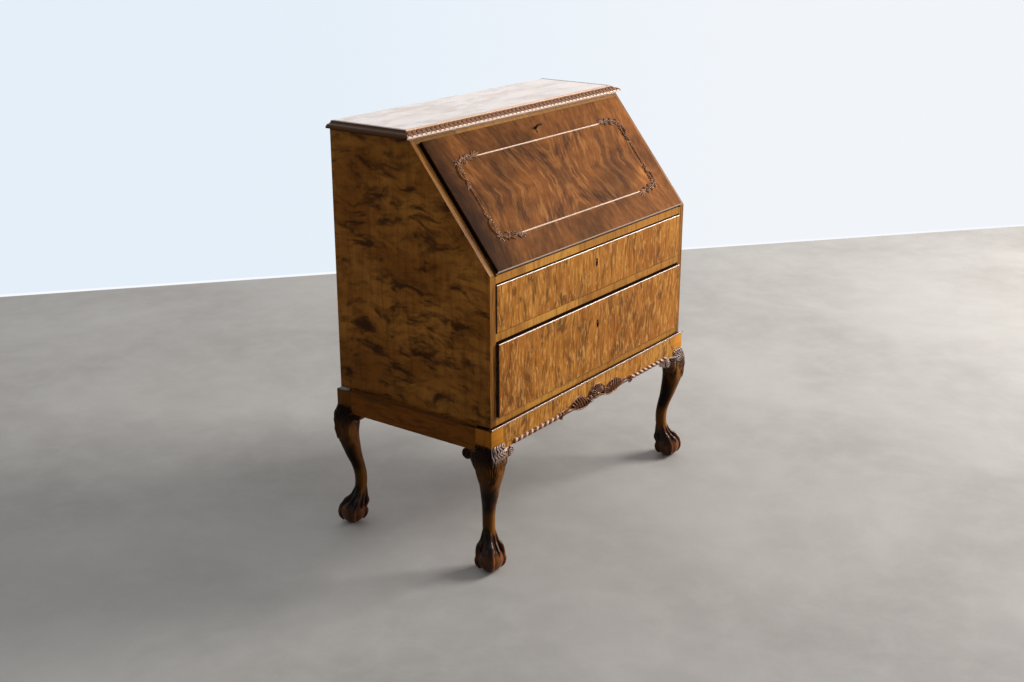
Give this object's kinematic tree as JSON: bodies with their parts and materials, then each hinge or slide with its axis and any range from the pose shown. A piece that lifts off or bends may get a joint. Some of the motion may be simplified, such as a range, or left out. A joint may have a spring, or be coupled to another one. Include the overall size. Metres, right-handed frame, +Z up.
{
  "type": "fall front secretaire",
  "caption": "Slant-fronted writing desk with a hinged fall, drawers below and a gallery inside, on a carved stand with cabriole legs and ball-and-claw feet.",
  "frame": {"origin": "on the floor, at the middle of the bounding box's base", "axes": "+X to the right as one faces the desk, -Y is the front, +Z up"},
  "size_m": [0.9398, 0.5218, 1.062],
  "materials": {
    "side_veneer": "polished figured walnut veneer",
    "top_veneer": "polished figured walnut veneer",
    "fall_veneer": "polished book-matched walnut veneer",
    "drawer_veneer": "polished rippled walnut veneer",
    "rail_veneer": "polished cross-banded light walnut",
    "carved_walnut": "dark polished carved walnut",
    "secondary_wood": "plain softwood and oak, waxed",
    "brass": "aged brass",
    "iron": "dark iron"
  },
  "bodies": {
    "root": {"left_side": "side_veneer", "right_side": "side_veneer", "top_board": "top_veneer", "bottom_rail": "rail_veneer", "middle_rail": "rail_veneer", "fall_rail": "rail_veneer", "top_rail": "rail_veneer", "stand_front_rail": "rail_veneer", "stand_back_rail": "rail_veneer", "stand_side_rails": "rail_veneer", "stand_bead": "rail_veneer", "front_left_leg": "carved_walnut", "front_right_leg": "carved_walnut", "back_left_leg": "carved_walnut", "back_right_leg": "carved_walnut", "knee_brackets": "carved_walnut", "rope_moulding": "carved_walnut", "apron_carving": "carved_walnut", "top_front_moulding": "carved_walnut", "top_side_mouldings": "carved_walnut", "bottom_board": "secondary_wood", "dust_board": "secondary_wood", "drawer_runners": "secondary_wood", "drawer_stops": "secondary_wood", "back_panel": "secondary_wood", "writing_bed": "secondary_wood", "gallery_shelves": "secondary_wood", "gallery_uprights": "secondary_wood", "corner_blocks": "secondary_wood", "case_hinge_leaves": "brass", "stay_side_plates": "brass", "stand_screws": "iron"},
    "fall": {"fall_panel": "fall_veneer", "fall_bead": "carved_walnut", "fall_corner_carvings": "carved_walnut", "fall_hinge_leaves": "brass", "fall_lock_case": "brass", "stay_fall_brackets": "brass"},
    "fall_bolt": {"fall_lock_bolt": "brass"},
    "fall_key": {"key": "iron"},
    "left_upper_arm": {"left_stay_upper_arm": "brass"},
    "left_lower_arm": {"left_stay_lower_arm": "brass"},
    "right_upper_arm": {"right_stay_upper_arm": "brass"},
    "right_lower_arm": {"right_stay_lower_arm": "brass"},
    "upper_drawer": {"upper_drawer_front": "drawer_veneer", "upper_drawer_sides": "secondary_wood", "upper_drawer_back": "secondary_wood", "upper_drawer_bottom": "secondary_wood", "upper_drawer_lock": "brass"},
    "lower_drawer": {"lower_drawer_front": "drawer_veneer", "lower_drawer_sides": "secondary_wood", "lower_drawer_back": "secondary_wood", "lower_drawer_bottom": "secondary_wood", "lower_drawer_lock": "brass"},
    "left_small_drawer": {"left_small_drawer_front": "secondary_wood", "left_small_drawer_tray": "secondary_wood", "left_small_drawer_knob": "brass"},
    "right_small_drawer": {"right_small_drawer_front": "secondary_wood", "right_small_drawer_tray": "secondary_wood", "right_small_drawer_knob": "brass"}
  },
  "joints": [
    {"name": "fall_hinge", "type": "hinge", "parent": "root", "child": "fall", "pos_m": [0, -0.239, 0.7545], "axis": [1, 0, 0], "range_deg": [0, 128.73]},
    {"name": "key_turn", "type": "hinge", "parent": "fall", "child": "fall_key", "pos_m": [0, -0.03941, 1.00334], "axis": [0, -0.7801, 0.6257], "range_deg": [0, 90]},
    {"name": "bolt_slide", "type": "slide", "parent": "fall", "child": "fall_bolt", "axis": [0, 0.6257, 0.7801], "range_m": [0, 0.008]},
    {"name": "upper_drawer_slide", "type": "slide", "parent": "root", "child": "upper_drawer", "axis": [0, -1, 0], "range_m": [0, 0.29]},
    {"name": "lower_drawer_slide", "type": "slide", "parent": "root", "child": "lower_drawer", "axis": [0, -1, 0], "range_m": [-0.006, 0.3]},
    {"name": "left_small_drawer_slide", "type": "slide", "parent": "root", "child": "left_small_drawer", "axis": [0, -1, 0], "range_m": [0, 0.15]},
    {"name": "right_small_drawer_slide", "type": "slide", "parent": "root", "child": "right_small_drawer", "axis": [0, -1, 0], "range_m": [0, 0.15]},
    {"name": "left_upper_arm_pivot", "type": "hinge", "parent": "root", "child": "left_upper_arm", "pos_m": [-0.42, -0.089, 0.7905], "axis": [1, 0, 0], "range_deg": [0, 128.73]},
    {"name": "left_elbow_pivot", "type": "hinge", "parent": "left_upper_arm", "child": "left_lower_arm", "pos_m": [-0.42, 0.01968, 0.89562], "axis": [1, 0, 0], "range_deg": [-128.73, 0]},
    {"name": "right_upper_arm_pivot", "type": "hinge", "parent": "root", "child": "right_upper_arm", "pos_m": [0.42, -0.089, 0.7905], "axis": [1, 0, 0], "range_deg": [0, 128.73]},
    {"name": "right_elbow_pivot", "type": "hinge", "parent": "right_upper_arm", "child": "right_lower_arm", "pos_m": [0.42, 0.01968, 0.89562], "axis": [1, 0, 0], "range_deg": [-128.73, 0]}
  ],
  "couplings": [
    {"joint": "bolt_slide", "follows": "key_turn", "m_per_rad": 0.005092},
    {"joint": "left_upper_arm_pivot", "follows": "fall_hinge", "ratio": 1},
    {"joint": "left_elbow_pivot", "follows": "fall_hinge", "ratio": -1},
    {"joint": "right_upper_arm_pivot", "follows": "fall_hinge", "ratio": 1},
    {"joint": "right_elbow_pivot", "follows": "fall_hinge", "ratio": -1}
  ]
}
